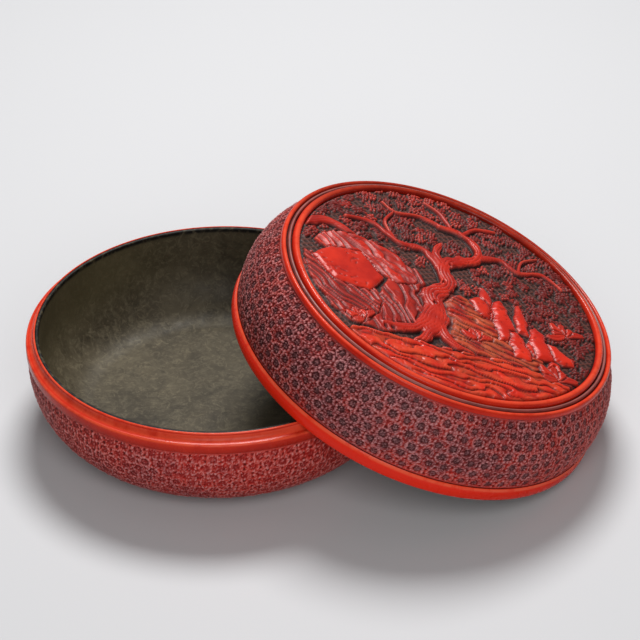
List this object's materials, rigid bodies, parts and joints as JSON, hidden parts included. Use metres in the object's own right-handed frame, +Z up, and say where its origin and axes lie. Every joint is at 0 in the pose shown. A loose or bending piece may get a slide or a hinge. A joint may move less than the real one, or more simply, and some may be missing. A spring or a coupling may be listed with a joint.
{
  "type": "carved lacquer box",
  "caption": "Round box of carved red lacquer with a dark lined bowl, a flanged mouth and a lift-off lid carved with a tree, rocks and a flower diaper.",
  "frame": {"origin": "on the table, on the axis of the base", "axes": "+X from the base's axis towards the lid, +Z up"},
  "size_m": [0.2768, 0.1848, 0.107],
  "materials": {
    "core_wood": "bare turned softwood, hidden by the coats",
    "carved_red": "carved cinnabar lacquer, dusty maroon with worn red edges",
    "plain_red": "smooth vermilion lacquer, satin gloss",
    "picture_red": "carved vermilion lacquer, polished on its high parts",
    "ground_brown": "dull brown lacquer ground",
    "dark_lining": "aged olive-brown lacquer, mottled, soft sheen"
  },
  "bodies": {
    "base": {"base_core": "core_wood", "base_side_lacquer": "carved_red", "base_rim_band": "plain_red", "base_mouth_flange": "plain_red", "base_lining": "dark_lining", "base_foot_ring": "dark_lining", "base_underside_lacquer": "dark_lining"},
    "lid": {"lid_core": "core_wood", "lid_side_lacquer": "carved_red", "lid_rim_band": "plain_red", "lid_lining": "dark_lining", "lid_shoulder_bead": "plain_red", "lid_top_ground": "ground_brown", "lid_panel_bead": "plain_red", "lid_relief_tree": "picture_red", "lid_relief_boulder": "picture_red", "lid_relief_bank": "picture_red", "lid_relief_slope": "picture_red", "lid_relief_shrub": "picture_red"}
  },
  "joints": [
    {"name": "lid_lift", "type": "slide", "parent": "base", "child": "lid", "axis": [0, 0, 1], "range_m": [0, 0.09]}
  ]
}
